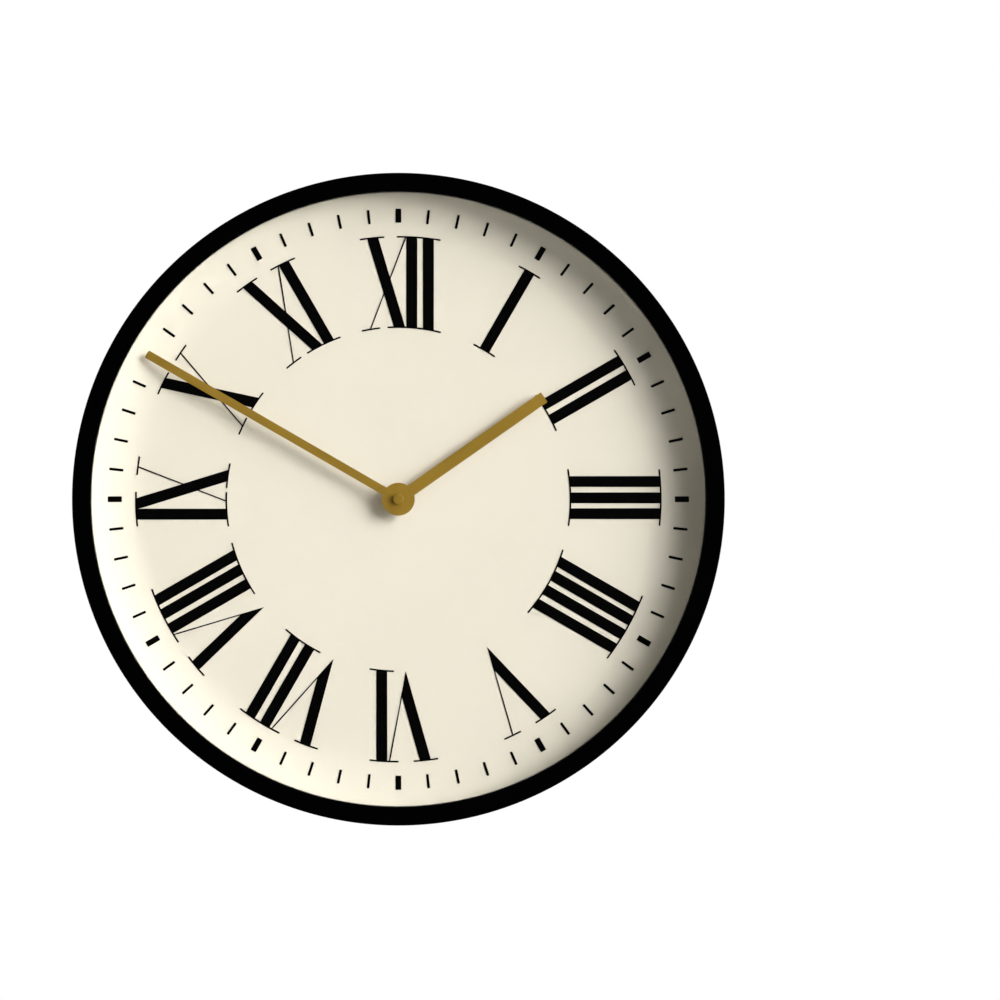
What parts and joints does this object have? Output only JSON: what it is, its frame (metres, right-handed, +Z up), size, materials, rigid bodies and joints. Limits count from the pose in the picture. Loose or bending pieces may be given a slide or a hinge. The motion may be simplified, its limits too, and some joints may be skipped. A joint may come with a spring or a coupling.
{
  "type": "round wall clock",
  "caption": "Round wall clock with a deep black drum case, cream dished dial, Roman numerals, flat brass-coloured hands under glass and a battery quartz movement.",
  "frame": {"origin": "where the dial's axis meets the wall, at the case's rear rim", "axes": "+Z up, +X to the right seen from the front, +Y into the wall; the dial faces -Y"},
  "size_m": [0.43, 0.085, 0.43],
  "materials": {
    "case_paint": "satin black stoved paint",
    "clear_glass": "clear, polished",
    "black_rubber": "matt",
    "black_plastic": "fine moulded texture",
    "dial_enamel": "smooth satin cream paint",
    "dial_ink": "satin black printed ink",
    "zinc_steel": "bright zinc plated",
    "back_plastic": "fine moulded texture",
    "movement_plastic": "moulded, satin",
    "brass": "satin",
    "acetal": "natural white, moulded",
    "contact_spring": "nickel plated",
    "soft_iron": "as rolled",
    "copper_wire": "enamelled copper wire",
    "board_green": "solder resist",
    "crystal_can": "drawn metal can",
    "chip_resin": "cast black resin",
    "hand_gold": "satin, brass coloured",
    "arbor_steel": "ground",
    "ferrite": "sintered, matt",
    "cell_sleeve": null
  },
  "bodies": {
    "clock": {"case_drum": "case_paint", "lens_gasket": "black_rubber", "glass_lens": "clear_glass", "spacer_ring": "black_plastic", "dial": "dial_enamel", "dial_numerals": "dial_ink", "dial_minute_track": "dial_ink", "dial_screws": "zinc_steel", "back_cover": "back_plastic", "battery_well": "back_plastic", "back_cover_screws": "zinc_steel", "hanger_plate": "zinc_steel", "hanger_screws": "zinc_steel", "movement_case": "movement_plastic", "movement_cover": "movement_plastic", "dial_washer": "black_rubber", "tube_washer": "brass", "tube_nut": "brass", "train_bridge": "acetal", "positive_contact": "contact_spring", "negative_contact": "contact_spring", "stator": "soft_iron", "coil_core": "soft_iron", "coil_bobbin": "acetal", "coil_winding": "copper_wire", "circuit_board": "board_green", "quartz_crystal": "crystal_can", "controller_chip": "chip_resin"},
    "minute_hand_group": {"minute_arbor": "brass", "clutch_spring": "contact_spring", "minute_hand": "hand_gold", "hand_nut": "brass"},
    "hour_hand_group": {"hour_wheel": "acetal", "hour_hand_collet": "brass", "hour_hand": "hand_gold"},
    "setting_group": {"set_knob": "black_plastic", "setting_wheel": "acetal"},
    "seconds_group": {"seconds_wheel": "acetal", "seconds_arbor": "arbor_steel"},
    "third_group": {"third_wheel": "acetal"},
    "centre_group": {"centre_wheel": "acetal"},
    "intermediate_group": {"intermediate_wheel": "acetal"},
    "rotor_group": {"rotor_pinion": "acetal", "rotor_magnet": "ferrite"},
    "battery": {"battery_cell": "cell_sleeve"}
  },
  "joints": [
    {"name": "minute_hand_turn", "type": "hinge", "parent": "clock", "child": "minute_hand_group", "pos_m": [0, 0, 0], "axis": [0, 1, 0], "continuous": true},
    {"name": "hour_hand_turn", "type": "hinge", "parent": "clock", "child": "hour_hand_group", "pos_m": [0, 0, 0], "axis": [0, 1, 0], "continuous": true},
    {"name": "setting_knob_turn", "type": "hinge", "parent": "clock", "child": "setting_group", "pos_m": [0.0108, 0, 0], "axis": [0, 1, 0], "continuous": true},
    {"name": "seconds_wheel_turn", "type": "hinge", "parent": "clock", "child": "seconds_group", "pos_m": [0, 0, 0], "axis": [0, 1, 0], "continuous": true},
    {"name": "third_wheel_turn", "type": "hinge", "parent": "clock", "child": "third_group", "pos_m": [-0.0102, 0, 0], "axis": [0, 1, 0], "continuous": true},
    {"name": "centre_wheel_turn", "type": "hinge", "parent": "clock", "child": "centre_group", "pos_m": [0, 0, 0], "axis": [0, 1, 0], "continuous": true},
    {"name": "intermediate_wheel_turn", "type": "hinge", "parent": "clock", "child": "intermediate_group", "pos_m": [0.00385, 0, 0.00667], "axis": [0, 1, 0], "continuous": true},
    {"name": "rotor_turn", "type": "hinge", "parent": "clock", "child": "rotor_group", "pos_m": [0.00715, 0, 0.01238], "axis": [0, 1, 0], "continuous": true},
    {"name": "battery_slide", "type": "slide", "parent": "clock", "child": "battery", "axis": [0, 1, 0], "range_m": [0, 0.05]}
  ],
  "couplings": [
    {"joint": "hour_hand_turn", "follows": "minute_hand_turn", "ratio": 0.083333},
    {"joint": "setting_knob_turn", "follows": "minute_hand_turn", "ratio": -0.33333},
    {"joint": "third_wheel_turn", "follows": "seconds_wheel_turn", "ratio": -0.13333},
    {"joint": "centre_wheel_turn", "follows": "seconds_wheel_turn", "ratio": 0.016667},
    {"joint": "intermediate_wheel_turn", "follows": "seconds_wheel_turn", "ratio": -6},
    {"joint": "rotor_turn", "follows": "seconds_wheel_turn", "ratio": 30}
  ]
}
